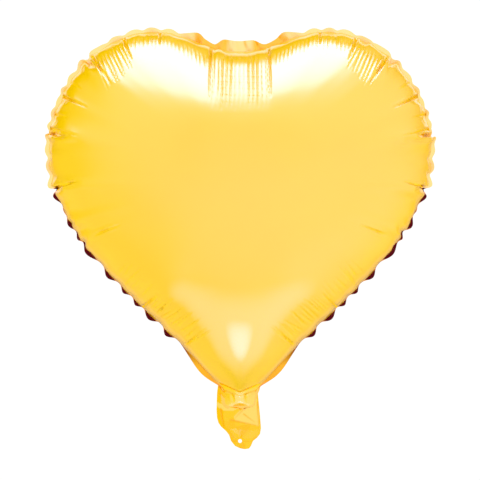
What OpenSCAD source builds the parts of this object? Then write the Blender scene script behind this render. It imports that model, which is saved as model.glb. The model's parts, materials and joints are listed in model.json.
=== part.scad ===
// Heart-shaped foil balloon, self-sealing, inflated to a firm pillow.
// Millimetres. X to the right, Y to the back, Z up. The origin is at the neck,
// where a ribbon is tied: the heart stands above it and the filling tail hangs below.
// Films are drawn thicker than the real foil so that they are closed solids.

/* [Heart] */
// Width of the inflated heart from weld line to weld line
heart_w = 381; // [360:1:390]
// Height of the lobe tops above the neck
lobe_top_z = 358; // [345:1:364]
// Height of the widest place above the neck
widest_z = 240; // [225:1:250]
// Distance of a lobe's top from the middle
lobe_top_x = 86; // [78:1:94]
// Height of the bottom of the cleft above the neck
cleft_z = 338; // [328:1:344]
// Depth of the inflated heart from front to back
depth = 176; // [160:1:184]
// Height of the thickest place above the neck
belly_z = 214; // [205:1:225]

/* [Film] */
// Drawn thickness of the foil panels
film_t = 0.6; // [0.5:0.1:0.8]
// Drawn thickness of the welded margin, where both foils are one
weld_t = 1.0; // [0.8:0.1:1.2]
// Width of the welded margin round the heart
flange_w = 4.5; // [3:0.5:5.5]
// How far the welded margin reaches in under the panels
flange_in = 2; // [1.5:0.5:3]
// Depth of the scallops along the margin's outer edge
scallop = 1.2; // [0:0.2:1.6]
// Height of the wide margin that fills the cleft
web_h = 11; // [8:0.5:12]
// Half width of the wide margin in the cleft
web_half = 24; // [20:1:28]

/* [Neck] */
// Half width of the open throat between heart and tail
throat_half = 18; // [16:0.5:20]
// Length of the puffed neck below the tie point
neck_l = 12.5; // [11:0.5:12.5]
// How far the puffed neck stands out to front and back
neck_puff = 6; // [4:0.5:8]

/* [Tail] */
// Width of the flat filling tail
tail_w = 43; // [40:0.5:45]
// Height of the fold line between neck and tail
neck_fold_z = -14; // [-14:0.5:-13.5]
// Height of the fold line between tail and end tab
tip_fold_z = -38; // [-42:0.5:-37]
// Height of the tail's lower end
tail_end_z = -59.5; // [-61:0.5:-59]
// Width of the end tab
tab_w = 22; // [20:0.5:24]
// Height of the tie hole
tie_hole_z = -51; // [-52:0.5:-50]
// Diameter of the tie hole
tie_hole_d = 4; // [3:0.5:5]
// Drawn thickness of each tail ply
ply_t = 0.6; // [0.5:0.1:0.7]

/* [Valve] */
// Drawn thickness of each valve film
valve_t = 0.25; // [0.2:0.05:0.3]
// Height of the valve's upper, free end inside the heart
valve_top_z = 72; // [55:1:85]
// Width of the valve where it stands free inside the heart
valve_w = 32; // [28:1:34]
// Width of each edge weld that makes the two valve films a flat tube
valve_weld_w = 2; // [1.5:0.5:3]

/* [Hidden] */

half_w = heart_w / 2;
throat_z = 0;
clear = 0.05;              // half the gap between the two valve films
patch_t = 0.12;
valve_bottom_z = neck_fold_z + 1.5;
fold_gap_upper = 1.5;      // from a fold line up to the piece above it
fold_gap_lower = 2;        // from a fold line down to the piece below it
tail_weld_w = 4;
ring_steps = 10;
side_steps = 15;
lobe_steps = 13;
cleft_steps = 6;
scallops = 27;
foil = [1.0, 0.84, 0.27];
foil_deep = [0.86, 0.62, 0.12];
foil_light = [1.0, 0.90, 0.55];
valve_clear = [0.86, 0.88, 0.86, 0.5];

// ---- curves ----

function bezier(a, b, c, d, t) =
    pow(1 - t, 3) * a + 3 * pow(1 - t, 2) * t * b + 3 * (1 - t) * t * t * c + pow(t, 3) * d;

// Right half of the weld line, from the throat up round the lobe to the cleft.
throat = [throat_half, throat_z];
widest = [half_w, widest_z];
lobe_top = [lobe_top_x, lobe_top_z];
cleft = [0, cleft_z];
side_curve = [for (i = [0 : side_steps - 1])
    bezier(throat, throat + [55, 74], widest - [0, 100], widest, i / side_steps)];
lobe_curve = [for (i = [0 : lobe_steps - 1])
    bezier(widest, widest + [0, 56], lobe_top + [59, 0], lobe_top, i / lobe_steps)];
cleft_curve = [for (i = [0 : cleft_steps])
    bezier(lobe_top, lobe_top - [34, 0], cleft + [34, 0], cleft, i / cleft_steps)];
right_half = concat(side_curve, lobe_curve, cleft_curve);
left_half = [for (i = [len(right_half) - 2 : -1 : 0]) [-right_half[i][0], right_half[i][1]]];
seam = concat(right_half, left_half);
n_seam = len(seam);

// Outward normal of the weld line at point i, and the line moved by a distance.
function seam_normal(i) =
    let (next = seam[(i + 1) % n_seam], last = seam[(i + n_seam - 1) % n_seam], d = next - last)
    [d[1], -d[0]] / norm(d);
function margin(out) = [for (i = [0 : n_seam - 1]) seam[i] + seam_normal(i) * out];

// The margin's cut edge: scallops pinched by the puckers.
margin_edge = [for (i = [0 : n_seam - 1])
    let (wave = abs(sin(180 * scallops * i / n_seam)))
    seam[i] + seam_normal(i) * (flange_w - scallop * (1 - wave))];

// Height of the puffed film over the weld plane, at an angle phi from the belly (0) to the weld
// (90). Towards the tip the film runs down like a cone, and it is full everywhere else.
function tipness(p) =
    let (v = (p - [0, belly_z]) / norm(p - [0, belly_z])) pow(max(0, -v[1]), 3);
function puff(phi, p, h) = h * pow(cos(phi), 0.9 + 0.75 * tipness(p));

// ---- building blocks ----

// A flat shape in X and Z, from depth y0 to depth y1.
module plate(y0, y1) {
    translate([0, y1, 0]) rotate([90, 0, 0]) linear_extrude(y1 - y0) children();
}

function dish_ring(rim, centre, phi, h, y_rim, shrink) = [for (p = rim)
    let (q = centre + (p - centre) * sin(phi) * shrink) [q[0], -(y_rim + puff(phi, p, h)), q[1]]];

// A dished film: rings from the rim to the middle on the outside, and the same on the inside.
module dish(rim, centre, h, y_rim, t, inner_shrink, steps) {
    n = len(rim);
    angles = [for (j = [0 : steps - 1]) 90 - 90 * j / steps];
    outer = [for (a = angles) each dish_ring(rim, centre, a, h, y_rim, 1)];
    inner = [for (a = angles) each dish_ring(rim, centre, a, h - t, y_rim, inner_shrink)];
    outer_top = [centre[0], -(y_rim + h), centre[1]];
    inner_top = [centre[0], -(y_rim + h - t), centre[1]];
    m = n * steps;
    points = concat(outer, inner, [outer_top, inner_top]);
    function wall(base, flip) = [for (j = [0 : steps - 2], i = [0 : n - 1])
        let (k = (i + 1) % n, a = base + j * n + i, b = base + j * n + k)
        each flip ? [[a, b + n, b], [a, a + n, b + n]] : [[a, b, b + n], [a, b + n, a + n]]];
    function cap(base, top, flip) = [for (i = [0 : n - 1])
        let (k = (i + 1) % n, a = base + (steps - 1) * n + i, b = base + (steps - 1) * n + k)
        flip ? [a, top, b] : [a, b, top]];
    lip = [for (i = [0 : n - 1]) let (k = (i + 1) % n) each [[i, m + k, m + i], [i, k, m + k]]];
    polyhedron(points, concat(wall(0, true), cap(0, 2 * m, true), wall(m, false),
                              cap(m, 2 * m + 1, false), lip), convexity = 6);
}

module heart_panel() {
    dish(seam, [0, belly_z], depth / 2 - weld_t / 2, weld_t / 2, film_t, 1 - film_t / 110, ring_steps);
}

// The throat's rounded pouch, whose rim rests on the neck welds.
neck_mid = -neck_l / 2;
neck_rim = concat(
    [for (a = [-60 : 20 : 60]) [throat_half - 1 + 2 * cos(a), neck_mid + (neck_l / 2) * sin(a) / sin(60)]],
    [for (a = [120 : 20 : 240]) [-throat_half + 1 + 2 * cos(a), neck_mid + (neck_l / 2) * sin(a) / sin(60)]]);
module neck_pouch() {
    dish(neck_rim, [0, neck_mid], neck_puff, weld_t / 2, film_t, 0.93, 6);
}

module strip(x0, x1, z0, z1) {
    polygon([[x0, z0], [x1, z0], [x1, z1], [x0, z1]]);
}

module tail_shape() {
    strip(-tail_w / 2, tail_w / 2, tip_fold_z + fold_gap_upper, neck_fold_z - fold_gap_lower);
}

// The end tab: shoulders, then a tongue with a round end.
module tab_shape() {
    top_z = tip_fold_z - fold_gap_upper;
    shoulder_z = top_z - 7;
    end_r = tab_w / 2;
    polygon(concat(
        [[tail_w / 2 - 2, top_z - 4], [tail_w / 2 - 1, top_z],
         [-tail_w / 2 + 1, top_z], [-tail_w / 2 + 2, top_z - 4], [-end_r, shoulder_z]],
        [for (a = [180 : 10 : 360]) [end_r * cos(a), tail_end_z + end_r + end_r * sin(a)]],
        [[end_r, shoulder_z]]));
}

module tab_ply(y0, y1) {
    difference() {
        plate(y0, y1) tab_shape();
        translate([0, y0 - 1, tie_hole_z]) rotate([-90, 0, 0])
            cylinder(d = tie_hole_d, h = y1 - y0 + 2, $fn = 48);
    }
}

// ---- the heart ----

module front_panel() { color(foil) heart_panel(); }
module back_panel() { color(foil) mirror([0, 1, 0]) heart_panel(); }

module seam_flange() {
    color(foil_deep) plate(-weld_t / 2, weld_t / 2) difference() {
        polygon(margin_edge);
        polygon(margin(-flange_in));
        strip(-throat_half, throat_half, -10, 12);
    }
}

// Where the two lobes meet, the margin was cut wide: it stands up as a middle flap between
// two side flaps, one on each lobe's shoulder.
module cleft_web() {
    foot_z = cleft_z + flange_w;
    color(foil_light) plate(-weld_t / 2, weld_t / 2) difference() {
        union() {
            polygon([[-web_half, foot_z - 2], [web_half, foot_z - 2], [web_half - 1, foot_z + 2],
                     [web_half - 8, cleft_z + web_h - 1], [0, cleft_z + web_h],
                     [-web_half + 10, cleft_z + web_h], [-web_half + 1, foot_z + 2]]);
            for (side = [-1, 1])
                polygon([for (p = [[4, -1], [25, 4], [21, 11], [7, 9]])
                         [side * (web_half + p[0]), foot_z + p[1]]]);
        }
        polygon(margin_edge);
    }
}

// ---- the neck ----

module neck_front() { color(foil) neck_pouch(); }
module neck_back() { color(foil) mirror([0, 1, 0]) neck_pouch(); }

module neck_weld(side) {
    x_in = throat_half;
    x_out = tail_w / 2;
    color(foil_deep) plate(-weld_t / 2, weld_t / 2) difference() {
        polygon([for (p = [[x_in, -neck_l], [x_out, -neck_l], [x_out, -4], [x_in + 3, 2], [x_in, 2]])
                 [side * p[0], p[1]]]);
        polygon(margin_edge);
    }
}
module neck_weld_left() { neck_weld(-1); }
module neck_weld_right() { neck_weld(1); }

// ---- the valve: two clear films that lie flat on each other from the tail into the heart ----

module valve_outline() {
    strip(-throat_half, throat_half, valve_bottom_z, 0);
    strip(-valve_w / 2, valve_w / 2, -1, valve_top_z);
}
module valve_front_film() { color(valve_clear) plate(-clear - valve_t, -clear) valve_outline(); }
module valve_back_film() { color(valve_clear) plate(clear, clear + valve_t) valve_outline(); }
module valve_edge_welds() {
    color(valve_clear) for (side = [-1, 1]) plate(-clear, clear)
        strip(side * valve_w / 2, side * (valve_w / 2 - valve_weld_w), valve_bottom_z, valve_top_z);
}
// Heat-resistant ink that keeps the throat open while the seam is welded.
module release_patch() {
    y_film = -clear - valve_t;
    color([0.75, 0.3, 0.25]) plate(y_film - patch_t, y_film) strip(-11, 11, neck_mid - 5, neck_mid + 4);
}

// ---- the tail ----

module tail_ply(side) {
    y_in = side * weld_t / 2;
    y_out = side * (weld_t / 2 + ply_t);
    color(foil) plate(min(y_in, y_out), max(y_in, y_out)) tail_shape();
}
module tail_front_ply() { tail_ply(-1); }
module tail_back_ply() { tail_ply(1); }

module tail_weld(side) {
    x_out = side * tail_w / 2;
    x_in = side * (tail_w / 2 - tail_weld_w);
    color(foil_deep) plate(-weld_t / 2, weld_t / 2)
        strip(min(x_in, x_out), max(x_in, x_out), tip_fold_z + fold_gap_upper, neck_fold_z - fold_gap_lower);
}
module tail_weld_left() { tail_weld(-1); }
module tail_weld_right() { tail_weld(1); }

module valve_inlet(y0, y1) {
    x = tail_w / 2 - tail_weld_w;
    color(valve_clear) plate(y0, y1)
        strip(-x, x, tip_fold_z + fold_gap_upper + 3, neck_fold_z - fold_gap_lower);
}
module valve_inlet_front() { valve_inlet(-weld_t / 2, -weld_t / 2 + valve_t); }
module valve_inlet_back() { valve_inlet(weld_t / 2 - valve_t, weld_t / 2); }

// ---- the end tab, where both plies are welded together round the tie hole ----

module tab_front_ply() { color(foil) tab_ply(-ply_t, 0); }
module tab_back_ply() { color(foil) tab_ply(0, ply_t); }

front_panel();
back_panel();
seam_flange();
cleft_web();
neck_front();
neck_back();
neck_weld_left();
neck_weld_right();
valve_front_film();
valve_back_film();
valve_edge_welds();
release_patch();
tail_front_ply();
tail_back_ply();
tail_weld_left();
tail_weld_right();
valve_inlet_front();
valve_inlet_back();
tab_front_ply();
tab_back_ply();
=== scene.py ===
"""Looks of a filled heart-shaped foil balloon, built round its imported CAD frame.

The heart is made the way the real one is: two flat sheets of film and one welded margin are
cut to a pattern, and a pressure simulation fills them. The result is fitted to the CAD weld
line, then the fine pleats and the sharp creases that start at the weld are pressed into it.
Lengths of the balloon are in millimetres here and angles in degrees. Its objects are made in
metres, and the camera, the light and the floor are given in metres.
"""

import json
import math

import bmesh
import bpy
import numpy as np
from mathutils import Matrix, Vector
from mathutils.geometry import delaunay_2d_cdt
from mathutils.kdtree import KDTree


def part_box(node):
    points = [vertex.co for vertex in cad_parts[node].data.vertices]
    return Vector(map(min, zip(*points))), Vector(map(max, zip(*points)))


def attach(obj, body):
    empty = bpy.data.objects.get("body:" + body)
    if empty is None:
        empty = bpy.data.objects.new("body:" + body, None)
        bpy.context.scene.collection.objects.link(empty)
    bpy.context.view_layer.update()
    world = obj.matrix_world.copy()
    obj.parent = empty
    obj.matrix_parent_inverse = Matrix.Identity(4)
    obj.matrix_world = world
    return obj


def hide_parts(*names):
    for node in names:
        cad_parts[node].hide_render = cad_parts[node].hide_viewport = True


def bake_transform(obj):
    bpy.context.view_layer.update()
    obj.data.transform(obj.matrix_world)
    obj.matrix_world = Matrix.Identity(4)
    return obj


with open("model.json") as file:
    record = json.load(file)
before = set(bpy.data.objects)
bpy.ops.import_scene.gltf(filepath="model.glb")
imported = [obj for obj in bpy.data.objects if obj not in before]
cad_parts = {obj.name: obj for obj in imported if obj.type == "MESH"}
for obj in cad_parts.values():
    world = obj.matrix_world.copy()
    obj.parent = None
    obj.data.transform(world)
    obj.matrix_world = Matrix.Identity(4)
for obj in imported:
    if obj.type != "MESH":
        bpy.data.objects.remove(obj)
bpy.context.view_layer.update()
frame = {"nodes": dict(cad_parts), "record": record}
MM = 0.001

# ---- sizes, in millimetres, read from the frame ----


def node_box(name):
    low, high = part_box(name)
    return np.array(low) / MM, np.array(high) / MM


PANEL_LOW, PANEL_HIGH = node_box("front_panel")
HALF_DEPTH = -PANEL_LOW[1]
TIE_HOLE = next(m for m in frame["record"]["mounts"] if m["name"] == "tie_hole")

# ---- the flat pattern: the weld line before the balloon is filled ----

PATTERN = dict(
    neck_half=20, neck_length=16, neck_corner=9,
    side_rise=(128, 72), widest=(231, 258), widest_down=71, widest_up=69,
    lobe_top=(94, 420), lobe_out=84, lobe_in=44, cleft_z=415, cleft_out=37)
MESH_STEP = 4.2
FILL_FRAMES = 60
MARGIN_W = 4.6
CLEFT_MARGIN_W = 10.5
CLEFT_MARGIN_HALF = 25      # how far the wide margin runs along the weld from the cleft
SIM_SCALE = 0.01            # the film is filled at ten times its real size, where Cloth works best
FRONT, BACK, MARGIN, FLAP = range(4)    # the parts of the film; the flap is the cleft's margin
SLACK = 0.6                 # lets the two flat sheets stand a little apart before the filling

# Where the weld is pinched in the flat cut: share of the weld from neck to cleft, and strength.
PINCHES = [(0.463, 0.3), (0.571, 0.5), (0.634, 0.5), (0.721, 0.6), (0.788, 0.6), (0.853, 0.5),
           (0.965, 0.1)]
PINCH_IN = 2.4
PINCH_WIDTH = 5.0
BUCKLE_LENGTH = 30.0
BUCKLE_OUT = 0.8

# The fit to the CAD weld line: how many degrees of the course it averages, pass by pass.
FIT_SPREADS = (5.0, 2.2)
FIT_FROM_Z = 6
FIT_EASED_AT_NECK = 14      # within so many degrees of straight down, the fit fades out

# The margin outside the weld stands up in small petals. One side of the filled heart, from the
# cleft down: the points where the margin is nipped in, then the heights of the lower petals.
NIPS = [(62, 358), (80, 356), (97, 355), (115, 349), (130, 341), (145, 329), (158, 316), (169, 304),
        (176, 293), (182, 281), (186, 271), (189, 261), (193, 246), (193, 230), (188, 215),
        (181, 202)]
LOWER_PETALS = [(201, 187), (181, 177), (173, 160), (156, 150), (149, 129), (122, 109), (103, 96),
                (91, 84), (81, 68), (62, 52)]
TIP_PETAL = (46, 2)
PETAL_LEAN = 56             # how far the lower petals lean back from the plane of the weld
GAP_LEAN = 86               # the same between them
PAINTED_SHADE_FROM = 28            # a margin that leans more than this gets painted shade, for the dark it mirrors
UPPER_LEAN = 12
NECK_LEAN = 10
FLAP_STAND = 0.6
NECK_STAND = 0.3
SCALLOP = 1.5
LEVEL_STAND = 0.55          # where a petal stands out this far, the scallop leaves the weld alone
NIP_WIDTH = 0.4             # the margin's width at a nip, as a share of its full width
LOWER_PETAL_WIDER = 0.75
TIP_WIDER = 5.0
SHOULDER_WIDER = 4.5
SHOULDER_AT = 47            # along the weld from the cleft
NECK_WIDER = {"left": 2.2, "right": -1.0}
FLAP_CRUMPLE = 3.2
SHOULDER_CRUMPLE = 2.0


def bezier(a, b, c, d, steps):
    t = np.linspace(0, 1, steps)[:, None]
    a, b, c, d = (np.array(p, float) for p in (a, b, c, d))
    return (1 - t) ** 3 * a + 3 * (1 - t) ** 2 * t * b + 3 * (1 - t) * t * t * c + t ** 3 * d


def weld_pattern():
    """The closed flat weld line, from the foot of the neck up the right side and round."""
    p = PATTERN
    x, foot, r = p["neck_half"], -p["neck_length"], p["neck_corner"]
    turn = np.radians(np.linspace(0, 90, 12))
    corner = np.c_[x - r + r * np.sin(turn), foot + r - r * np.cos(turn)]
    hip, wide, top = np.array([x, 0.0]), np.array(p["widest"]), np.array(p["lobe_top"])
    cleft = np.array([0, p["cleft_z"]])
    side = bezier(hip, hip + p["side_rise"], wide - [0, p["widest_down"]], wide, 200)
    lobe = bezier(wide, wide + [0, p["widest_up"]], top + [p["lobe_out"], 0], top, 200)
    dip = bezier(top, top - [p["lobe_in"], 0], cleft + [p["cleft_out"], 0], cleft, 200)
    right = np.vstack([[[0, foot]], corner, side, lobe[1:], dip[1:]])
    return np.vstack([right, right[::-1][1:-1] * [-1, 1]])


def even_points(line, step):
    closed = np.vstack([line, line[:1]])
    run = np.r_[0, np.cumsum(np.linalg.norm(np.diff(closed, axis=0), axis=1))]
    count = 2 * round(run[-1] / step / 2)
    at = np.linspace(0, run[-1], count, endpoint=False)
    return np.c_[np.interp(at, run, closed[:, 0]), np.interp(at, run, closed[:, 1])], run[-1]


def inside(points, line):
    x, z = points.T
    hit = np.zeros(len(points), bool)
    for (x1, z1), (x2, z2) in zip(line, np.roll(line, -1, 0)):
        if z1 != z2:
            spans = (z1 > z) != (z2 > z)
            hit ^= spans & (x < (x2 - x1) * (z - z1) / (z2 - z1) + x1)
    return hit


def smoothstep(x):
    x = np.clip(x, 0, 1)
    return x * x * (3 - 2 * x)


def outward_normals(loop):
    tangent = np.roll(loop, -1, 0) - np.roll(loop, 1, 0)
    outward = np.c_[tangent[:, 1], -tangent[:, 0]]
    return outward / np.linalg.norm(outward, axis=1)[:, None]


def turns_left(a, b, c):
    return (b[0] - a[0]) * (c[1] - a[1]) - (b[1] - a[1]) * (c[0] - a[0]) > 0


def nearest_of(points):
    """A search tree over points in a plane."""
    tree = KDTree(len(points))
    for i, p in enumerate(points):
        tree.insert((p[0], p[1], 0), i)
    tree.balance()
    return tree


def flat_film():
    """The two sheets and the margin, flat: points, triangles, each triangle's part, the number
    of weld points, which come first, and of points before the margin's outer ones, each weld
    point's distance along the weld from the cleft and outward direction, and the length."""
    weld, length = even_points(weld_pattern(), MESH_STEP * 0.9)
    n = len(weld)
    from_cleft = np.abs(np.arange(n) / n - 0.5) * length
    near = nearest_of(weld)
    rows = np.arange(weld[:, 1].min(), weld[:, 1].max(), MESH_STEP * math.sqrt(3) / 2)
    across = np.arange(-300, 300, MESH_STEP)
    grid = np.vstack([np.c_[across + (k % 2) * MESH_STEP / 2, np.full(len(across), z)]
                      for k, z in enumerate(rows)])
    grid = grid[inside(grid, weld)]
    depth = np.array([near.find((p[0], p[1], 0))[2] for p in grid])
    clear = depth > MESH_STEP * 0.65
    grid, depth = grid[clear], depth[clear]
    m = len(grid)
    points, _, triangles, *_ = delaunay_2d_cdt(
        [Vector(p) for p in np.vstack([weld, grid])], [(i, (i + 1) % n) for i in range(n)],
        [], 1, 1e-5)
    flat = np.array([p[:] for p in points])
    ease = np.r_[np.zeros(n), SLACK * np.sqrt(np.minimum(depth, 120))]
    outward = outward_normals(weld)
    edge = weld + outward * MARGIN_W
    film = np.vstack([np.c_[flat[:, 0], -ease, flat[:, 1]],
                      np.c_[flat[n:, 0], ease[n:], flat[n:, 1]],
                      np.c_[edge[:, 0], np.zeros(n), edge[:, 1]]])
    faces, part = [], []
    for tri in triangles:
        if not turns_left(*(flat[i] for i in tri)):
            tri = tri[::-1]
        faces.append(list(tri))
        faces.append([i if i < n else i + m for i in tri[::-1]])
        part += [FRONT, BACK]
    rim = n + 2 * m
    for i in range(n):
        j = (i + 1) % n
        faces += [[i, rim + i, rim + j], [i, rim + j, j]]
        part += [FLAP if from_cleft[i] < CLEFT_MARGIN_HALF + 6 else MARGIN] * 2
    return film, faces, part, n, rim, from_cleft, outward, length


def pinch_weld(film, n, rim, from_cleft, outward, length):
    """Small faults in the flat cut, so that the film gathers where a real one does."""
    film = film.copy()
    neck = PATTERN["neck_length"] + PATTERN["neck_half"]
    weld_half = length / 2 - neck
    body = smoothstep((from_cleft - 40) / 20) * smoothstep((length / 2 - from_cleft - 30) / 15)
    buckle = BUCKLE_OUT * np.sin(2 * np.pi * (from_cleft - 30) / BUCKLE_LENGTH) * body
    film[:n, 1] += buckle
    film[rim:, 1] += 2 * buckle
    for share, strength in PINCHES:
        reach = np.exp(-((from_cleft - (1 - share) * weld_half) / PINCH_WIDTH) ** 2)
        move = (PINCH_IN * strength * reach)[:, None] * outward
        for first in (0, rim):
            film[first:first + n, 0] -= move[:, 0]
            film[first:first + n, 2] -= move[:, 1]
    return film


def fill(film, faces, rim):
    """Fills the film with gas: Blender's Cloth with pressure, stepped and read back."""
    scene = bpy.context.scene
    mesh = bpy.data.meshes.new("fill")
    mesh.from_pydata((film * SIM_SCALE).tolist(), [], faces)
    ob = bpy.data.objects.new("fill", mesh)
    scene.collection.objects.link(ob)
    inner = ob.vertex_groups.new(name="gas")
    inner.add(list(range(rim)), 1.0, "REPLACE")
    cloth = ob.modifiers.new("film", "CLOTH")
    s = cloth.settings
    s.quality = 6
    s.mass = 0.3
    s.air_damping = 1.0
    s.tension_stiffness = 40
    s.compression_stiffness = 2
    s.shear_stiffness = 4
    s.bending_stiffness = 0.1
    s.tension_damping = s.compression_damping = s.shear_damping = 5
    s.bending_damping = 0.5
    s.use_pressure = True
    s.uniform_pressure_force = 6
    s.vertex_group_pressure = "gas"
    s.effector_weights.gravity = 0
    cloth.collision_settings.use_collision = False
    cloth.point_cache.frame_start = 1
    cloth.point_cache.frame_end = FILL_FRAMES
    for f in range(1, FILL_FRAMES + 1):
        scene.frame_set(f)
    done = ob.evaluated_get(bpy.context.evaluated_depsgraph_get())
    out = np.empty(len(film) * 3)
    done.data.vertices.foreach_get("co", out)
    bpy.data.objects.remove(ob)
    bpy.data.meshes.remove(mesh)
    scene.frame_set(1)
    return out.reshape(-1, 3) / SIM_SCALE


def cad_weld_line():
    """The CAD weld line as angle about the belly and radius, from the front panel's rim."""
    co = np.array([v.co for v in frame["nodes"]["front_panel"].data.vertices]) / MM
    belly = co[np.argmin(co[:, 1])][[0, 2]]
    rim = co[co[:, 1] > PANEL_HIGH[1] - 0.01][:, [0, 2]] - belly
    angle = np.arctan2(rim[:, 0], rim[:, 1])
    radius = np.hypot(rim[:, 0], rim[:, 1])
    order = np.argsort(angle)
    angle, radius = angle[order], radius[order]
    keep = [max(np.flatnonzero(np.abs(angle - a) < 0.01), key=lambda i: radius[i])
            for a in angle]
    keep = sorted(set(keep))
    return belly, angle[keep], radius[keep]


def fit_to_cad(film, n, rim, weld_flat):
    """Stands the filled film on the frame: the neck at the origin, the smooth course of the
    weld on the CAD weld line, and the belly as deep as the CAD panels."""
    hip = [int(np.argmin(np.hypot(weld_flat[:, 0] - s * PATTERN["neck_half"], weld_flat[:, 1])))
           for s in (1, -1)]
    film = film - [film[hip, 0].mean(), film[:rim, 1].mean(), film[hip, 2].mean()]
    belly, cad_angle, cad_radius = cad_weld_line()
    for spread in FIT_SPREADS:
        weld = film[:n][:, [0, 2]]
        body = weld[:, 1] > FIT_FROM_Z
        off = weld[body] - belly
        angle = np.arctan2(off[:, 0], off[:, 1])
        ratio = np.interp(angle, cad_angle, cad_radius, period=2 * np.pi) / np.hypot(*off.T)
        grid = np.radians(np.arange(-180, 180, 1.0))
        turn = (grid[:, None] - angle[None] + np.pi) % (2 * np.pi) - np.pi
        weight = np.exp(-(turn / np.radians(spread)) ** 2) + 1e-9
        smooth = (weight * ratio).sum(1) / weight.sum(1)
        at_neck = smoothstep((np.pi - np.abs(grid)) / np.radians(FIT_EASED_AT_NECK))
        smooth = 1 + (smooth - 1) * at_neck
        off = film[:, [0, 2]] - belly
        angle = np.arctan2(off[:, 0], off[:, 1])
        reach = np.hypot(*off.T) / np.interp(angle, cad_angle, cad_radius, period=2 * np.pi)
        scale = np.interp(angle, grid, smooth, period=2 * np.pi) - 1
        scale = 1 + scale * np.minimum(1, reach) ** 2
        film[:, 0] = belly[0] + off[:, 0] * scale
        film[:, 2] = belly[1] + off[:, 1] * scale
    film[:, 1] *= HALF_DEPTH / np.abs(film[:rim, 1]).max()
    return film


def smoothed_loop(values, spread):
    """The values round a closed line, averaged over about so many neighbours."""
    n = len(values)
    gap = np.minimum(np.arange(n), n - np.arange(n))
    kernel = np.exp(-(gap / spread) ** 2)
    kernel /= kernel.sum()
    return np.real(np.fft.ifft(np.fft.fft(values, axis=0) * np.fft.fft(kernel)[:, None], axis=0))


def petals(weld, from_cleft):
    """For each weld point: how far out its petal stands (0 at a nip, 1 in the middle of a
    petal), and how far the margin leans back, in degrees."""
    n = len(weld)
    stand, lean = np.zeros(n), np.full(n, float(GAP_LEAN))
    for side in (np.arange(n // 2), np.arange(n // 2, n)[::-1]):
        points = weld[side] * [np.sign(weld[side, 0].sum()), 1]
        nips = [int(np.argmin(np.hypot(*(points - nip).T))) for nip in NIPS]
        nips.insert(0, int(np.argmin(np.abs(from_cleft[side] - CLEFT_MARGIN_HALF - 12))))
        for k, (first, last) in enumerate(zip(nips[1:], nips)):
            t = np.linspace(0, 1, last - first + 1)
            stand[side[first:last + 1]] = np.sin(np.pi * t) ** 0.7
            lean[side[first:last + 1]] = UPPER_LEAN * (1 if k % 2 else -1) * np.sin(np.pi * t)
        lean[side[nips[0]:]] = 0
        stand[side[nips[0]:]] = FLAP_STAND
        low = points[:, 1] < NIPS[-1][1]
        for top, foot in LOWER_PETALS + [TIP_PETAL]:
            here = low & (points[:, 1] < top) & (points[:, 1] > foot) & (points[:, 0] > 8)
            t = (points[here, 1] - foot) / (top - foot)
            rise = np.sin(np.pi * t) ** 0.6
            stand[side[here]] = rise
            lean[side[here]] = GAP_LEAN + (PETAL_LEAN - GAP_LEAN) * rise
        neck = points[:, 1] < 2
        lean[side[neck]] = NECK_LEAN
        stand[side[neck]] = NECK_STAND
    return stand, lean


def shape_margin(film, n, rim, from_cleft):
    """Scallops the weld and lays the margin out beyond it, petal by petal."""
    weld = film[:n, [0, 2]]
    course = smoothed_loop(weld, 3.5)
    outward = outward_normals(course)
    stand, lean = petals(course, from_cleft)
    body = smoothstep((from_cleft - CLEFT_MARGIN_HALF) / 10) * smoothstep((course[:, 1] + 2) / 20)
    push = (SCALLOP * (stand - LEVEL_STAND) * body)[:, None] * outward
    near = nearest_of(weld)
    for i in range(rim):
        _, k, gap = near.find((film[i, 0], film[i, 2], 0))
        film[i, [0, 2]] += push[k] * math.exp(-gap / 7)
    flap = np.clip((CLEFT_MARGIN_HALF - from_cleft) / 8, 0, 1)
    tip = smoothstep((TIP_PETAL[0] - course[:, 1]) / 30) * (course[:, 1] > 2)
    shoulder = np.exp(-((from_cleft - SHOULDER_AT) / 9) ** 2)
    neck = smoothstep(-course[:, 1] / 4)
    width = MARGIN_W + (CLEFT_MARGIN_W - MARGIN_W) * flap + TIP_WIDER * tip
    width += SHOULDER_WIDER * shoulder
    width += neck * np.where(course[:, 0] < 0, NECK_WIDER["left"], NECK_WIDER["right"])
    width = width * (NIP_WIDTH + (1 - NIP_WIDTH) * np.maximum(stand, flap))
    low = (lean > PETAL_LEAN - 1) & (course[:, 1] > TIP_PETAL[0])
    width = width * (1 + LOWER_PETAL_WIDER * stand * low)
    turn = np.radians(lean)
    line = smoothed_loop(film[:n, [0, 2]], 1.3)
    film[rim:, [0, 2]] = line + outward * (width * np.cos(turn))[:, None]
    film[rim:, 1] = film[:n, 1] + width * np.sin(turn)
    film[rim:, 1] += np.sin(from_cleft * 0.55) * FLAP_CRUMPLE * flap
    film[rim:, 1] += np.sin(from_cleft * 0.5) * SHOULDER_CRUMPLE * shoulder
    return film


# Where the filled film is too deeply dented for a weld this long: x, z, reach, passes.
DENTS = [(60, 108, 95, 60), (31, 318, 26, 14), (78, 305, 78, 30), (0, 35, 62, 40)]


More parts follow.
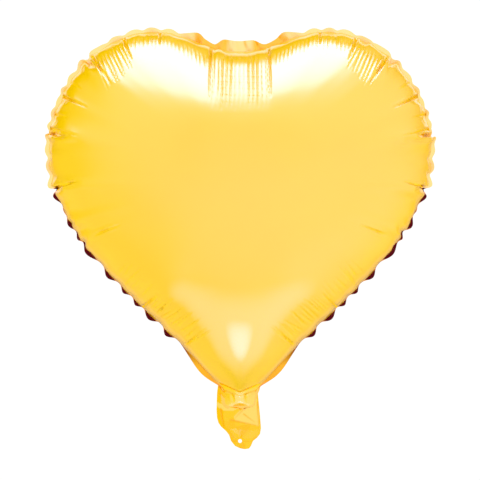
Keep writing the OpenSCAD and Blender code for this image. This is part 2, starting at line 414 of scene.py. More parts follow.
def ease_dents(film, faces, n, rim):
    """Smooths the film round the dents. The weld is smoothed along itself only."""
    tri = np.array([f for f in faces if max(f) < rim])
    pairs = np.vstack([tri[:, [0, 1]], tri[:, [1, 2]], tri[:, [2, 0]]])
    pairs = np.vstack([pairs, pairs[:, ::-1]])
    pairs = pairs[pairs[:, 0] >= n]
    count = np.maximum(np.bincount(pairs[:, 0], minlength=rim), 1)
    for x, z, reach, passes in DENTS:
        for _ in range(passes):
            gap = np.hypot(np.abs(film[:rim, 0]) - x, film[:rim, 2] - z)
            weight = 0.6 * smoothstep(1.2 * (1 - gap / reach))[:, None]
            mean = np.zeros((rim, 3))
            np.add.at(mean, pairs[:, 0], film[pairs[:, 1]])
            mean /= count[:, None]
            mean[:n] = (np.roll(film[:n], 1, 0) + np.roll(film[:n], -1, 0)) / 2
            film[:rim] += weight * (mean - film[:rim])
    return film


# ---- pleats and creases, pressed into the filled film along its normals ----

DEEPEST_MARK = 1.3          # a deeper valley is marked as this deep


class Pleat:
    """A valley from point a, near the weld, to point b further in, seen from the front."""

    def __init__(self, a, b, width, depth, start=0.0, lips=0.35, fine=False):
        self.a, self.b = np.array(a, float), np.array(b, float)
        self.width, self.depth, self.start = width, depth, start
        self.lips, self.fine = lips, fine
        self.length = np.linalg.norm(self.b - self.a)

    def along_and_off(self, xz):
        d = (self.b - self.a) / self.length
        rel = xz - self.a
        return rel @ d / self.length, rel @ np.array([-d[1], d[0]])

    def touches(self, xz):
        t, off = self.along_and_off(xz)
        return (t > -0.15) & (t < 1.05) & (np.abs(off) < 3.2 * self.width)

    def press(self, xz):
        """How far the pleat lifts the film at each point, and how deep its valley is there."""
        t, off = self.along_and_off(xz)
        fade = np.clip(1 - t, 0, 1) ** 0.45 * smoothstep((t + 0.12) / (0.12 + self.start))
        width = self.width * (0.6 + 0.4 * np.clip(1 - t, 0, 1))
        valley = np.exp(-(off / width) ** 2)
        lips = np.exp(-((np.abs(off) - 2 * width) / width) ** 2)
        lift = self.depth * fade * (self.lips * lips - valley)
        return lift, min(self.depth, DEEPEST_MARK) * fade * valley


# Creases from the weld inwards on both sides: start, end, half width, depth, soft start.
CREASES = [
    ((29, 338), (30, 288), 1.0, 2.0, 0.0), ((80, 359), (79, 344), 1.2, 1.8, 0.0),
    ((116, 351), (107, 327), 1.4, 2.4, 0.0), ((146, 331), (126, 302), 1.4, 2.6, 0.0),
    ((178, 294), (150, 280), 1.4, 2.7, 0.0), ((190, 261), (158, 252), 1.3, 2.1, 0.0),
    ((181, 203), (160, 208), 1.3, 2.0, 0.0), ((143, 155), (117, 165), 1.2, 1.7, 0.3),
    ((118, 103), (96, 124), 1.2, 0.8, 0.5), ((99, 81), (80, 98), 1.2, 1.7, 0.2),
    ((54, 46), (41, 56), 1.2, 1.6, 0.2), ((168, 307), (157, 299), 1.3, 1.0, 0.0),
    ((187, 276), (170, 271), 1.3, 1.2, 0.0)]


def strayed(random, side, point, reach):
    """A point of the right side, brought to the given side and moved a little at random."""
    return np.array([side * point[0], point[1]]) + random.uniform(-reach, reach, 2)


def between(first, last, share):
    return [a + (b - a) * share for a, b in zip(first, last)]


def shoulder_pleats(random, side):
    """Fine pleats on a shoulder, between two of the creases."""
    for k in range(8):
        a = strayed(random, side, between((119, 344), (142, 328), k / 7), 0.5)
        b = strayed(random, side, between((107, 319), (128, 296), k / 7), 1.5)
        yield Pleat(a, b, 1.05, random.uniform(1.0, 1.4), 0.15)


def lobe_ripples(random, side):
    """Short ripples along the top of a lobe."""
    for k in range(19):
        x = 35 + 4.1 * k + random.uniform(-0.5, 0.5)
        top = 333 + 20 * smoothstep((x - 28) / 50) - 7 * smoothstep((x - 90) / 30)
        long = random.uniform(12, 18)
        yield Pleat((side * x, top), (side * (x - 1), top - long), 1.1,
                    random.uniform(0.5, 0.9), 0.3)


def hair_pleats(random, side, count, first, last, run, depths):
    """A row of hair pleats above the lower edge, each one running so far up and inwards."""
    for k in range(count):
        a = strayed(random, side, between(first, last, k / (count - 1)), 2)
        b = a + strayed(random, side, run, 3)
        yield Pleat(a, b, 1.1, random.uniform(*depths), 0.3)


def cleft_fan(random):
    """The fan of upright pleats under the cleft, strong on both sides of a calm middle."""
    for k in range(-6, 7):
        x = 4.3 * k + random.uniform(-0.4, 0.4)
        depths = (1.2, 1.5) if 2 <= abs(k) <= 4 else (0.5, 0.8)
        depth = random.uniform(*depths)
        yield Pleat((x, 331), (1.05 * x, random.uniform(275, 279)), 1.0, depth, 0.12,
                    lips=0.1, fine=True)


def pleats():
    """Every pleat of both panels: the creases, and the rows of fine ones."""
    random = np.random.default_rng(7)
    made = []
    for side in (-1, 1):
        for (ax, az), (bx, bz), width, depth, start in CREASES:
            made.append(Pleat((side * ax, az), (side * bx, bz), width, depth, start))
        made += shoulder_pleats(random, side)
        made += lobe_ripples(random, side)
        made += hair_pleats(random, side, 15, (88, 83), (48, 49), (-16, 14), (0.5, 0.8))
        made += hair_pleats(random, side, 7, (122, 118), (92, 88), (-15, 14), (0.4, 0.7))
        # The foot of the heart, and the pouch of the neck under it.
        made.append(Pleat((side * 21, 6), (side * -2, -3), 1.4, 1.3, 0.2))
        made.append(Pleat((side * 7 - 1, -4), (side * 6, -13), 1.4, 1.3, 0.2))
    return made + list(cleft_fan(random))


FAN_DRAWN_IN = 1.3
FAN_HALF = 34
FAN_FOOT, FAN_TOP = 274, 334
PLEATED_EDGES = (1.7, 1.1)  # the longest edges left where a pleat runs, pass by pass
FINE_EDGE = 0.6             # the same in a last pass, where a fine pleat runs


def refine(bm, made):
    """Splits the film's edges where a pleat runs, and smooths the new points."""
    for longest in (*PLEATED_EDGES, FINE_EDGE):
        bm.verts.ensure_lookup_table()
        xz = np.array([(v.co.x, v.co.z) for v in bm.verts]) / MM
        near = np.zeros(len(xz), bool)
        for p in made:
            if longest > FINE_EDGE or p.fine:
                near |= p.touches(xz)
        edges = [e for e in bm.edges
                 if near[e.verts[0].index] and near[e.verts[1].index]
                 and e.calc_length() > longest * MM
                 and all(f.material_index < MARGIN for f in e.link_faces)]
        new = bmesh.ops.subdivide_edges(bm, edges=edges, cuts=1, use_grid_fill=True)
        verts = [g for g in new["geom_inner"] if isinstance(g, bmesh.types.BMVert)]
        verts = [v for v in verts if not any(len(e.link_faces) != 2 for e in v.link_edges)]
        for _ in range(3):
            bmesh.ops.smooth_vert(bm, verts=verts, factor=0.5,
                                  use_axis_x=True, use_axis_y=True, use_axis_z=True)
        bm.verts.index_update()
    bm.normal_update()
    bm.verts.ensure_lookup_table()


def press_pleats(bm, made):
    """Presses the pleats into the refined film. Returns how deep a valley runs at each point."""
    refine(bm, made)
    xz = np.array([(v.co.x, v.co.z) for v in bm.verts]) / MM
    move, valley = np.zeros(len(xz)), np.zeros(len(xz))
    for p in made:
        close = p.touches(xz)
        lift, deep = p.press(xz[close])
        move[close] += lift
        valley[close] = np.maximum(valley[close], deep)
    # The fan under the cleft is also drawn in as a whole, most in its middle.
    drawn = smoothstep((FAN_HALF - np.abs(xz[:, 0])) / 10)
    drawn = drawn * smoothstep((FAN_TOP - xz[:, 1]) / 30)
    move -= FAN_DRAWN_IN * drawn * np.clip((xz[:, 1] - FAN_FOOT) / 26, 0, 1)
    for i in np.flatnonzero(np.abs(move) > 1e-4):
        v = bm.verts[i]
        if all(f.material_index < MARGIN for f in v.link_faces):
            v.co += v.normal * move[i] * MM
    return valley


# ---- materials ----


def principled(name):
    mat = bpy.data.materials.new(name)
    mat.use_nodes = True
    tree = mat.node_tree
    return mat, tree, tree.nodes["Principled BSDF"]


def link(tree, a, out, b, into):
    tree.links.new(a.outputs[out], b.inputs[into])


def noise(tree, scale, detail=2.0, roughness=0.5):
    place = tree.nodes.new("ShaderNodeTexCoord")
    tex = tree.nodes.new("ShaderNodeTexNoise")
    tex.inputs["Scale"].default_value = scale
    tex.inputs["Detail"].default_value = detail
    tex.inputs["Roughness"].default_value = roughness
    link(tree, place, "Object", tex, "Vector")
    return tex


PAINTED_AMBER_AT = 0.4              # the share of painted shade at which the margin is painted amber


def tinted(tree, source, *stops):
    """A colour that goes from one stop to the next, each a place and a colour, as the source
    rises."""
    node = tree.nodes.new("ShaderNodeValToRGB")
    for element, (at, colour) in zip(node.color_ramp.elements, stops):
        element.position, element.color = at, (*colour, 1)
    link(tree, source, "Fac", node, "Fac")
    return node


def mixed(tree, share, first, second):
    """One colour over another: first is a node, second a node or a colour of its own."""
    mix = tree.nodes.new("ShaderNodeMixRGB")
    tree.links.new(share, mix.inputs["Fac"])
    link(tree, first, "Color", mix, "Color1")
    if isinstance(second, tuple):
        mix.inputs["Color2"].default_value = (*second, 1)
    else:
        link(tree, second, "Color", mix, "Color2")
    return mix


def mesh_value(tree, name):
    node = tree.nodes.new("ShaderNodeAttribute")
    node.attribute_name = name
    return node


def fade_out(tree, name, socket, low, high, left):
    """Lowers a socket from 1 to what is left of it as a value of the mesh rises."""
    fade = tree.nodes.new("ShaderNodeMapRange")
    fade.inputs["From Min"].default_value = low
    fade.inputs["From Max"].default_value = high
    fade.inputs["To Min"].default_value = 1.0
    fade.inputs["To Max"].default_value = left
    link(tree, mesh_value(tree, name), "Fac", fade, "Value")
    tree.links.new(fade.outputs["Result"], socket)


def bare_foil(name, grazing=(1.0, 0.75, 0.10), coat=1.0, roughness=0.42):
    """Metallised film: metal under a clear, glossy top layer, still without its colour."""
    mat, tree, p = principled(name)
    p.inputs["Metallic"].default_value = 1.0
    p.inputs["Specular Tint"].default_value = (*grazing, 1)
    p.inputs["Coat Weight"].default_value = coat
    p.inputs["Coat Roughness"].default_value = 0.0
    p.inputs["Coat IOR"].default_value = 1.9
    rough = tree.nodes.new("ShaderNodeMapRange")
    rough.inputs["To Min"].default_value = roughness - 0.05
    rough.inputs["To Max"].default_value = roughness + 0.05
    link(tree, noise(tree, 90, 4), "Fac", rough, "Value")
    link(tree, rough, "Result", p, "Roughness")
    return mat, tree, p


def foil(name, pale, deep):
    """The film of the heart. In a pleat the top layer mirrors the film beside it, so there the
    layer is left out, a painted shade in the pleats."""
    mat, tree, p = bare_foil(name)
    tint = tinted(tree, noise(tree, 6, 3), (0.35, deep), (0.65, pale))
    link(tree, tint, "Color", p, "Base Color")
    fade_out(tree, "pleat", p.inputs["Coat Weight"], 0.15, 1.0, 0.05)
    return mat


def painted_shade_foil(name, pale, deep, amber, dark):
    """The film of the margin, with painted shade. Where the mesh's painted-shade value rises, the
    metal goes to amber first and then to dark, and the top layer fades: painted shade for the dark
    that the leaning margin mirrors from below."""
    mat, tree, p = bare_foil(name, grazing=(0.7, 0.28, 0.04), roughness=0.36)
    tint = tinted(tree, noise(tree, 6, 3), (0.35, deep), (0.65, pale))
    # Painted shade: the margin's value turns the colour amber and then dark and fades the top
    # layer.
    painted_shade = mesh_value(tree, "painted_shade")
    shade_colour = tinted(tree, painted_shade, (PAINTED_AMBER_AT, amber), (0.85, dark))
    amount = tree.nodes.new("ShaderNodeMapRange")
    amount.inputs["From Max"].default_value = PAINTED_AMBER_AT
    link(tree, painted_shade, "Fac", amount, "Value")
    mix = mixed(tree, amount.outputs["Result"], tint, shade_colour)
    link(tree, mix, "Color", p, "Base Color")
    fade_out(tree, "painted_shade", p.inputs["Coat Weight"], 0.1, 0.7, 0.12)
    return mat


def tail_foil(name):
    """The film of the tail, crumpled, with painted light: cells of slightly different tone as
    painted facet shading, a painted highlight on some facets, and painted shade as darker lines
    along the creases."""
    mat, tree, p = bare_foil(name, coat=0.2, roughness=0.36)
    place = tree.nodes.new("ShaderNodeTexCoord")
    # Painted facet shading: cells of slightly different tone, for facets that mirror different
    # light.
    facet_shade_cells = tree.nodes.new("ShaderNodeTexVoronoi")
    facet_shade_cells.inputs["Scale"].default_value = 95
    link(tree, place, "Object", facet_shade_cells, "Vector")
    grey = tree.nodes.new("ShaderNodeSeparateColor")
    link(tree, facet_shade_cells, "Color", grey, "Color")
    painted_facet = tree.nodes.new("ShaderNodeValToRGB")
    painted_facet.color_ramp.elements[0].color = (1.0, 0.51, 0.002, 1)
    painted_facet.color_ramp.elements[1].color = (1.0, 0.58, 0.008, 1)
    link(tree, grey, "Red", painted_facet, "Fac")
    # Painted highlight: the marked facets are given a paler colour.
    painted_highlight = mixed(tree, mesh_value(tree, "painted_highlight").outputs["Fac"], painted_facet, (1.0, 0.66, 0.12))
    # Painted shade: darker lines along the creases of the tail.
    lines = mixed(tree, mesh_value(tree, "fold").outputs["Fac"], painted_highlight, (0.93, 0.42, 0.001))
    link(tree, lines, "Color", p, "Base Color")
    return mat


def valve_film(name):
    """Clear, slightly milky polyethylene."""
    mat, tree, p = principled(name)
    tint = tinted(tree, noise(tree, 30), (0.3, (0.86, 0.88, 0.89)), (0.7, (0.93, 0.94, 0.94)))
    link(tree, tint, "Color", p, "Base Color")
    p.inputs["Roughness"].default_value = 0.3
    p.inputs["Transmission Weight"].default_value = 0.7
    p.inputs["IOR"].default_value = 1.5
    return mat


def release_ink(name):
    mat, tree, p = principled(name)
    tint = tinted(tree, noise(tree, 60), (0.3, (0.62, 0.64, 0.66)), (0.7, (0.7, 0.72, 0.73)))
    link(tree, tint, "Color", p, "Base Color")
    p.inputs["Roughness"].default_value = 0.7
    return mat


# ---- the tail: a flat sleeve of two films, welded down both sides, creased and folded ----

# Its outline, left side down and right side up. The rows at SHARED_Z belong to both bodies.
TAIL_LEFT = [(-12, -1), (-22, 5), (-23, -3), (-23.3, -12), (-23.5, -20), (-23, -28),
             (-21.5, -33), (-19, -36.5), (-14, -41), (-11, -45), (-9, -51), (-5, -56)]
TAIL_RIGHT = [(0, -58.4), (5, -59.3), (9, -58.6), (11, -56), (13, -51), (17, -48), (20, -44),
              (21, -38), (20.6, -33), (20, -25), (19, -15), (18, -5), (17.5, 5), (10, -1)]
TAIL_TOP = [(6, -11), (0, -13.5), (-7, -11)]
SHARED_Z = -33.0
SHARED_HALF = 20.5          # the row's points further out than this are on the side welds
# The right side of the valve, from its inlet up. The left side is the same.
VALVE_SIDE = [(12, -31), (11, -18), (10, -12), (10, 0), (16, 14), (16, 70)]
TAIL_STEP = 1.0
VALVE_STEP = 3.0
SLEEVE_PUFF = 1.2
PLY_GAP = 0.12
FULL_CREASE_SHADE = 0.3             # a crease this deep gets the full painted crease shade

# Where the creases of the tail meet: x, z and how far back the film lies there.
KNOTS = [
    (-26, 6, 2.0), (24, 6, 0.5), (-16, -2, 0.0), (13, -2, 0.0), (0, -13, -0.5),
    (-26, -14, 3.8), (-26, -25, 4.2), (-26, -34, 3.6), (-16, -14, -0.6), (-16, -26, -1.0),
    (-15, -37, -2.2), (-4, -18, -3.6), (-5, -27, -3.4), (21, -13, -0.6), (22, -26, -0.4),
    (0, -33, -3.6), (22, -37, -1.4), (10, -35, -2.8), (9, -22, -2.2), (-9, -33, -1.4),
    (-10, -38, -3.2), (2, -39, -3.4), (13, -40, -2.6), (-13, -46, 1.8), (0, -47, 0.9),
    (-3, -49, 0.2), (3, -49, 0.2), (-3, -53, 0.3), (3, -53, 0.3), (14, -48, 1.4), (12, -54, 0.6),
    (-8, -58, 1.8), (5, -62, 1.6), (14, -59, 1.8), (23, -46, 1.8)]


# Sharp creases pressed into the front of the tail: start, end, half width, depth.
TAIL_CREASES = [
    ((-20, -4), (-11, -15), 0.9, 0.42), ((-11, -15), (0, -18), 0.9, 0.42),
    ((0, -18), (10, -11), 0.9, 0.42), ((10, -11), (16, -2), 0.9, 0.42),
    ((-19, -20), (-15, -44), 0.9, 0.48), ((16, -6), (-6, -29), 0.9, 0.3),
    ((-8, -30), (20, -36), 0.9, 0.36), ((-13, -51), (14, -51.5), 0.9, 0.3),
    ((4, -24), (16, -33), 0.8, 0.24), ((17.5, -14), (19, -44), 0.8, 0.3)]
# Facets of the tail that get a painted highlight.
PAINTED_HIGHLIGHT_FACETS = [
    [(16, -6), (19, -21), (19.5, -36), (-5, -31), (-6, -26), (5, -16)],
    [(-24, -12), (-10, -17), (-1, -18), (-9, -21), (-17, -20), (-24, -16)],
    [(-19, -12), (-12, -8), (-4, -10), (-3, -14), (-11, -14)]]


def tail_depth(points):
    """How far back the middle of the tail lies: flat facets between the knots."""
    at = np.array(KNOTS)
    _, _, triangles, *_ = delaunay_2d_cdt([Vector(k[:2]) for k in KNOTS], [], [], 0, 1e-6)
    depth = np.zeros(len(points))
    for tri in triangles:
        a, b, c = at[list(tri)]
        m = np.array([b[:2] - a[:2], c[:2] - a[:2]]).T
        u, v = np.linalg.solve(m, (points - a[:2]).T)
        within = (u >= -1e-6) & (v >= -1e-6) & (u + v <= 1 + 1e-6)
        depth[within] = (a[2] + u * (b[2] - a[2]) + v * (c[2] - a[2]))[within]
    return depth


def corner_points(outline, step):
    """Points along a closed outline, with its corners kept."""
    points = []
    for a, b in zip(outline, outline[1:] + outline[:1]):
        a, b = np.array(a, float), np.array(b, float)
        count = max(1, round(np.linalg.norm(b - a) / step))
        points += [a + (b - a) * k / count for k in range(count)]
    return np.array(points)


def cut_sheet(outline, step, hole=None):
    """Points, triangles and each point's distance from a welded edge, for a flat cut sheet."""
    rings = [corner_points(outline, step)]
    if hole is not None:
        turn = np.linspace(0, 2 * np.pi, 20, endpoint=False)
        rings.append(np.array(hole[0]) + hole[1] * np.c_[np.cos(turn), np.sin(turn)])
    rim = np.vstack(rings)
    edges, first = [], 0
    for ring in rings:
        count = len(ring)
        edges += [(first + i, first + (i + 1) % count) for i in range(count)]
        first += count
    low, high = rings[0].min(0), rings[0].max(0)
    grid = np.array([(x, z) for x in np.arange(low[0], high[0], step)
                     for z in np.arange(low[1], high[1], step)])
    grid = grid[inside(grid, rings[0])]
    if hole is not None:
        grid = grid[np.hypot(*(grid - hole[0]).T) > hole[1]]
    grid = grid[np.hypot(*(grid[:, None] - rim[None]).T).min(0) > 0.55 * step]
    points = np.vstack([rim, grid])
    _, _, triangles, *_ = delaunay_2d_cdt([Vector(p) for p in points], edges, [], 1, 1e-5)
    if hole is not None:
        triangles = [t for t in triangles
                     if np.hypot(*(points[list(t)].mean(0) - hole[0])) > hole[1] * 0.98]
    welded = rim[(np.abs(rim[:, 1] - SHARED_Z) > 0.01) | (np.abs(rim[:, 0]) > SHARED_HALF)]
    gap = np.hypot(*(points[:, None] - welded[None]).T).min(0)
    return points, triangles, gap


def mark(mesh, name, values):
    """Gives each point of the mesh a value that its material reads."""
    mesh.attributes.new(name, "FLOAT", "POINT").data.foreach_set("value", values)


def added(name, data):
    ob = bpy.data.objects.new(name, data)
    bpy.context.scene.collection.objects.link(ob)
    return ob


def ply(name, sheet, side, puff, material):
    """One film of the tail: side -1 is the front, 1 the back."""
    points, triangles, gap = sheet
    middle = tail_depth(points)
    puff = puff * (1 - 0.6 * smoothstep((SHARED_Z - points[:, 1]) / 12))
    y = middle + side * (PLY_GAP + puff * smoothstep(gap / 4))
    # How deep each crease runs, for the painted shade along it.
    fold = np.zeros(len(points))
    for a, b, width, depth in TAIL_CREASES:
        crease = Pleat(a, b, width, depth)
        close = crease.touches(points) & (gap > 0.5)
        lift, deep = crease.press(points[close])
        y[close] -= lift
        fold[close] = np.maximum(fold[close], deep / FULL_CREASE_SHADE)
    co = np.c_[points[:, 0], y, points[:, 1]] * MM
    faces = []
    for tri in triangles:
        left = turns_left(*(points[i] for i in tri))
        faces.append(list(tri) if left == (side < 0) else list(tri)[::-1])
    mesh = bpy.data.meshes.new(name)
    mesh.from_pydata(co.tolist(), [], faces)
    mesh.materials.append(material)
    # Painted highlight: the facets listed above are marked for a paler colour.
    painted_highlight = np.zeros(len(points))
    for painted_facet in PAINTED_HIGHLIGHT_FACETS:
        painted_highlight[inside(points, np.array(painted_facet, float))] = 1
    mark(mesh, "painted_highlight", painted_highlight)
    mark(mesh, "fold", np.minimum(fold, 1))
    return added(name, mesh)


def tail():
    """The sleeve and its end tab, as two films each."""
    left_up = [p for p in TAIL_LEFT if p[1] >= SHARED_Z - 0.1]
    left_low = [p for p in TAIL_LEFT if p[1] <= SHARED_Z + 0.1]
    right_low = [p for p in TAIL_RIGHT if p[1] <= SHARED_Z + 0.1]
    right_up = [p for p in TAIL_RIGHT if p[1] >= SHARED_Z - 0.1]
    sleeve = cut_sheet(left_up + right_up + TAIL_TOP, TAIL_STEP)
    hole = ((TIE_HOLE["pos_m"][0] / MM, TIE_HOLE["pos_m"][2] / MM), TIE_HOLE["dims"]["r_mm"])
    tab = cut_sheet(left_low + right_low, TAIL_STEP, hole)
    for side, word, plies in ((-1, "front", ("tail_front_ply", "tail_weld_left")),
                              (1, "back", ("tail_back_ply", "tail_weld_right"))):
        film = ply("tail_" + word + "_film", sleeve, side, SLEEVE_PUFF, FOIL_TAIL)
        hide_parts(*plies)
        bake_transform(film)
        film = ply("end_tab_" + word + "_film", tab, side, SLEEVE_PUFF, FOIL_TAIL)
        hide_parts("tab_" + word + "_ply")
        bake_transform(film)


def valve():
    """The flat valve inside: two clear films from the tail up through the neck."""
    outline = VALVE_SIDE + [(-x, z) for x, z in VALVE_SIDE[::-1]]
    sheet = cut_sheet(outline, VALVE_STEP)
    for side, word in ((-1, "front"), (1, "back")):
        film = ply("valve_" + word + "_sheet", sheet, side * 0.5, 0.0, VALVE)
        names = ["valve_" + word + "_film", "valve_inlet_" + word]
        if side > 0:
            names.append("valve_edge_welds")
        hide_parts(*names)
        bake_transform(film)


# ---- pieces ----

FULL_PLEAT = 1.1            # from this depth on, a pleat mirrors nothing but the film beside it and gets the full painted shade


def split_out(film, part, name, material):
    """One part of the film as an object of its own, in metres, with its pleats marked."""
    co, faces, parts, valley = film
    chosen = [f for f, k in zip(faces, parts) if k == part]
    used = sorted({i for f in chosen for i in f})
    index = {old: new for new, old in enumerate(used)}
    mesh = bpy.data.meshes.new(name)
    mesh.from_pydata([tuple(co[i]) for i in used], [], [[index[i] for i in f] for f in chosen])
    mesh.materials.append(material)
    # The pleat depth, read by the material for the painted shade in the pleats.
    mark(mesh, "pleat", [float(min(1, valley[i] / FULL_PLEAT)) for i in used])
    for poly in mesh.polygons:
        poly.use_smooth = True
    return added(name, mesh)


# Heights that place the margin's painted shade: on leaning petals below the first, a faint painted
# shade below the second, and on the crumpled stretches beside the cleft above the third.
PAINTED_SHADE_BELOW = 215
FAINT_SHADE_BELOW = 200
CRUMPLED_ABOVE = 330


def painted_shade_share(x, z, lean):
    """How much painted shade a point of the margin gets, from its place and its lean."""
    if z > CRUMPLED_ABOVE:
        return 0.4 * smoothstep((x - 10) / 5) * smoothstep((50 - x) / 10)
    if z < TIP_PETAL[0]:
        return 0.3 + 0.15 * smoothstep((z - 2) / 10) + 0.3 * smoothstep((z - 22) / 20)
    share = smoothstep((lean - PAINTED_SHADE_FROM) / 15) * smoothstep((PAINTED_SHADE_BELOW - z) / 12)
    share *= 1 - 0.75 * smoothstep((lean - PETAL_LEAN - 8) / 14)
    return max(share, 0.2 * smoothstep((FAINT_SHADE_BELOW - z) / 40))


def mark_painted_shade(margin):
    """Marks where the margin gets painted shade, for the dark it mirrors: the lower petals that
    lean far back, the tip, a faint share low down, and the crumpled stretches beside the cleft."""
    shares = []
    for v in margin.data.vertices:
        lean = math.degrees(math.acos(min(1.0, abs(v.normal.y))))
        shares.append(float(painted_shade_share(abs(v.co.x) / MM, v.co.z / MM, lean)))
    mark(margin.data, "painted_shade", shares)


def heart():
    """The filled film: its points in metres, its faces with the part each belongs to, and how
    deep a pleat runs at each point."""
    film, faces, part, n, rim, from_cleft, outward, length = flat_film()
    weld_flat = film[:n][:, [0, 2]].copy()
    film = pinch_weld(film, n, rim, from_cleft, outward, length)
    film = fill(film, faces, rim)
    film = fit_to_cad(film, n, rim, weld_flat)
    film = ease_dents(film, faces, n, rim)
    film = fit_to_cad(film, n, rim, weld_flat)
    film = shape_margin(film, n, rim, from_cleft)
    mesh = bpy.data.meshes.new("film")
    mesh.from_pydata((film * MM).tolist(), [], faces)
    mesh.polygons.foreach_set("material_index", part)
    for _ in (FRONT, BACK, MARGIN, FLAP):
        mesh.materials.append(None)
    whole = added("film", mesh)
    whole.modifiers.new("smooth", "SUBSURF").levels = 1
    done = whole.evaluated_get(bpy.context.evaluated_depsgraph_get())
    bm = bmesh.new()
    bm.from_mesh(done.to_mesh())
    bpy.data.objects.remove(whole)
    valley = press_pleats(bm, pleats())
    co = [v.co.copy() for v in bm.verts]
    faces = [[v.index for v in f.verts] for f in bm.faces]
    part = [f.material_index for f in bm.faces]
    bm.free()
    return co, faces, part, valley


FOIL = foil("foil_yellow", (1.0, 0.675, 0.014), (1.0, 0.645, 0.010))
FOIL_TAIL = tail_foil("foil_tail")
FOIL_WELD = painted_shade_foil("foil_weld", (1.0, 0.76, 0.22), (1.0, 0.69, 0.12),
                        (1.0, 0.53, 0.004), (0.065, 0.004, 0.002))
VALVE = valve_film("valve_film")
INK = release_ink("release_ink")

film = heart()
front = split_out(film, FRONT, "heart_front_film", FOIL)
back = split_out(film, BACK, "heart_back_film", FOIL)
margin = split_out(film, MARGIN, "weld_margin", FOIL_WELD)
flap = split_out(film, FLAP, "cleft_margin", FOIL_WELD)
mark_painted_shade(margin)
mark_painted_shade(flap)
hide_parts("front_panel", "neck_front")
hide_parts("back_panel", "neck_back")
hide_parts("seam_flange", "neck_weld_left", "neck_weld_right")
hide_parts("cleft_web")
for piece, slot in ((front, "foil"), (back, "foil"), (margin, "foil_weld"), (flap, "foil_weld")):
    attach(piece, "heart")

tail()
valve()
patch = frame["nodes"]["release_patch"]
patch.data.materials.clear()
patch.data.materials.append(INK)

# ---- camera, light and floor ----

VIEW_W = 0.480
VIEW_DISTANCE = 2.6
VIEW_CENTRE = Vector((0, 0, 0.150))
SENSOR_W = 36
FLOOR_Z = -2.0

# The light, as strengths and tints. The mirrored studio is seen by the film's top layer only.
CAMERA_WHITE = 1.05
SOFT_LIGHT = 1.15
SOFT_LIGHT_BEHIND = 0.25    # added low behind the balloon
MIRROR_TINT = (1.0, 0.56, 1.0)
BACKDROP_TINT = (1.0, 0.75, 0.80)
LAMP = 8.5
LAMP_EDGE = ((0.57, 0.02), (0.68, 0.09), (0.76, 0.2), (0.82, 0.42), (0.87, 0.64), (0.92, 0.80))
LAMP_TILT = 0.1
FACING = 1.28
FACING_FROM = (0.5, -0.8, 0.33)
LOW_GLOW = 1.65
LOW_GLOW_CORE = 3.75
LOW_GLOW_FROM = (0, -0.45, -0.89)
LOW_GLOW_STRETCH = 0.36
ROOM = 0.13
ROOM_BESIDE = 0.25


def aimed(ob, place, target):
    ob.location = place
    ob.rotation_euler = (Vector(target) - Vector(place)).to_track_quat("-Z", "Y").to_euler()
    return ob


def camera():
    data = bpy.data.cameras.new("camera")
    data.sensor_width = SENSOR_W
    data.lens = SENSOR_W * VIEW_DISTANCE / VIEW_W
    data.clip_end = 50
    place = VIEW_CENTRE - Vector((0, VIEW_DISTANCE, 0))
    bpy.context.scene.camera = aimed(added("camera", data), place, VIEW_CENTRE)


def softbox(name, place, width, height, power):
    data = bpy.data.lights.new(name, "AREA")
    data.shape = "RECTANGLE"
    data.size, data.size_y, data.energy = width, height, power
    aimed(added(name, data), place, VIEW_CENTRE).visible_glossy = False


def put(tree, value, socket):
    """Sets a socket to a number, or links another node's output to it."""
    if isinstance(value, (int, float)):
        socket.default_value = value
    else:
        tree.links.new(value, socket)


def maths(tree, operation, first, *others):
    """One operation on two sources, or on more of them from left to right."""
    for other in others:
        node = tree.nodes.new("ShaderNodeMath")
        node.operation = operation
        put(tree, first, node.inputs[0])
        put(tree, other, node.inputs[1])
        first = node.outputs[0]
    return first


def product(tree, *sources):
    return maths(tree, "MULTIPLY", *sources)


def total(tree, *sources):
    return maths(tree, "ADD", *sources)


def eased(tree, source, low, high, at_low=0.0, at_high=1.0):
    """A smooth step from one value to another as the source goes from low to high."""
    node = tree.nodes.new("ShaderNodeMapRange")
    node.interpolation_type = "SMOOTHSTEP"
    falling = high < low
    node.inputs["From Min"].default_value = high if falling else low
    node.inputs["From Max"].default_value = low if falling else high
    node.inputs["To Min"].default_value = at_high if falling else at_low
    node.inputs["To Max"].default_value = at_low if falling else at_high
    tree.links.new(source, node.inputs["Value"])
    return node.outputs["Result"]


def background(tree, colour, strength):
    node = tree.nodes.new("ShaderNodeBackground")
    node.inputs["Color"].default_value = (*colour, 1)
    put(tree, strength, node.inputs["Strength"])
    return node.outputs[0]


def choose(tree, switch, off, on):
    node = tree.nodes.new("ShaderNodeMixShader")
    for source, socket in zip((switch, off, on), node.inputs):
        tree.links.new(source, socket)
    return node.outputs[0]


def towards(tree, direction, axis):
    """The share of the direction that points along the axis."""
    return total(tree, *(product(tree, d, float(a)) for d, a in zip(direction, axis)))


def overhead_lamp(tree, x, y, z, sideways):
    """A big lamp overhead, soft towards its edge and weaker at the sides and behind."""
    profile = tree.nodes.new("ShaderNodeFloatCurve")
    curve = profile.mapping.curves[0]
    for at, value in LAMP_EDGE:
        curve.points.new(at, value)
    profile.mapping.update()
    height = maths(tree, "SUBTRACT", z, product(tree, x, LAMP_TILT))
    tree.links.new(maths(tree, "MAXIMUM", height, 0.0), profile.inputs["Value"])
    return product(tree, profile.outputs[0], LAMP, eased(tree, y, 0.16, 0.46, 1, 0),
                   eased(tree, sideways, 0.25, 0.5, 1, 0.2))


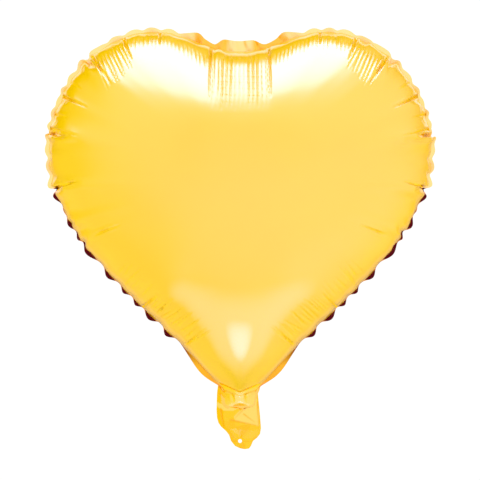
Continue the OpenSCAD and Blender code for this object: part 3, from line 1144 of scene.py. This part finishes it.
def low_glow(tree, x, y, z, sideways):
    """A glow low in front: a small bright core in a wide, faint one that is drawn out
    sideways."""
    low = towards(tree, (x, y, z), LOW_GLOW_FROM)
    core = product(tree, eased(tree, low, 0.98, 1.0), LOW_GLOW_CORE)
    stretched = product(tree, x, x, LOW_GLOW_STRETCH)
    wide = product(tree, eased(tree, total(tree, low, stretched), 0.86, 1.0), LOW_GLOW)
    ahead = maths(tree, "SUBTRACT", y, product(tree, sideways, 0.4))
    return product(tree, total(tree, core, wide), eased(tree, ahead, -0.42, -0.08, 1, 0.1))


def room_light(tree, y, z, sideways):
    """The dim room, a little brighter low at the sides and dark high behind."""
    shaded = product(tree, eased(tree, y, 0.1, 0.4), eased(tree, z, 0.0, 0.3))
    beside = product(tree, eased(tree, sideways, 0.2, 0.5), eased(tree, z, -0.2, -0.5))
    room = total(tree, product(tree, beside, ROOM_BESIDE), ROOM)
    return product(tree, maths(tree, "SUBTRACT", 1.0, shaded), room)


def mirrored_studio(tree, x, y, z):
    """How bright the studio is in each direction, as the glossy top layer mirrors it."""
    sideways = maths(tree, "ABSOLUTE", x, 0.0)
    facing = product(tree, eased(tree, towards(tree, (x, y, z), FACING_FROM), -0.5, 1.0), FACING)
    backdrop = product(tree, eased(tree, y, 0.66, 0.80), eased(tree, z, -0.1, 0.3, 0.25, 1.6))
    return total(tree, overhead_lamp(tree, x, y, z, sideways), facing, backdrop,
                 low_glow(tree, x, y, z, sideways), room_light(tree, y, z, sideways))


def surroundings():
    """A white studio. The camera sees a plain white backdrop. The clear top layer of the film
    mirrors a big lamp overhead, and the metal under it takes soft light from all round."""
    world = bpy.data.worlds.new("studio")
    bpy.context.scene.world = world
    world.use_nodes = True
    tree = world.node_tree
    tree.nodes.clear()
    place = tree.nodes.new("ShaderNodeTexCoord")
    split = tree.nodes.new("ShaderNodeSeparateXYZ")
    link(tree, place, "Generated", split, "Vector")
    x, y, z = split.outputs
    mirrored = mirrored_studio(tree, x, y, z)
    rays = tree.nodes.new("ShaderNodeLightPath")
    seen = choose(tree, eased(tree, y, 0.45, 0.8), background(tree, MIRROR_TINT, mirrored),
                  background(tree, BACKDROP_TINT, mirrored))
    behind = product(tree, eased(tree, y, 0.0, 0.6), eased(tree, z, 0.1, -0.3))
    soft = total(tree, product(tree, behind, SOFT_LIGHT_BEHIND), SOFT_LIGHT)
    shown = choose(tree, rays.outputs["Is Singular Ray"], background(tree, (1, 1, 1), soft), seen)
    shown = choose(tree, rays.outputs["Is Camera Ray"], shown,
                   background(tree, (1, 1, 1), CAMERA_WHITE))
    out = tree.nodes.new("ShaderNodeOutputWorld")
    tree.links.new(shown, out.inputs["Surface"])


def floor():
    bpy.ops.mesh.primitive_plane_add(size=16, location=(0, 0, FLOOR_Z))
    ob = bpy.context.object
    ob.name = "floor"
    mat, tree, p = principled("floor")
    tint = tinted(tree, noise(tree, 3), (0.3, (0.86, 0.86, 0.86)), (0.7, (0.9, 0.9, 0.9)))
    link(tree, tint, "Color", p, "Base Color")
    p.inputs["Roughness"].default_value = 0.8
    ob.data.materials.append(mat)
    ob.visible_glossy = False


camera()
surroundings()
floor()
softbox("overhead", (0, -0.6, 2.2), width=1.6, height=1.2, power=6)
bpy.context.scene.view_settings.view_transform = "Standard"
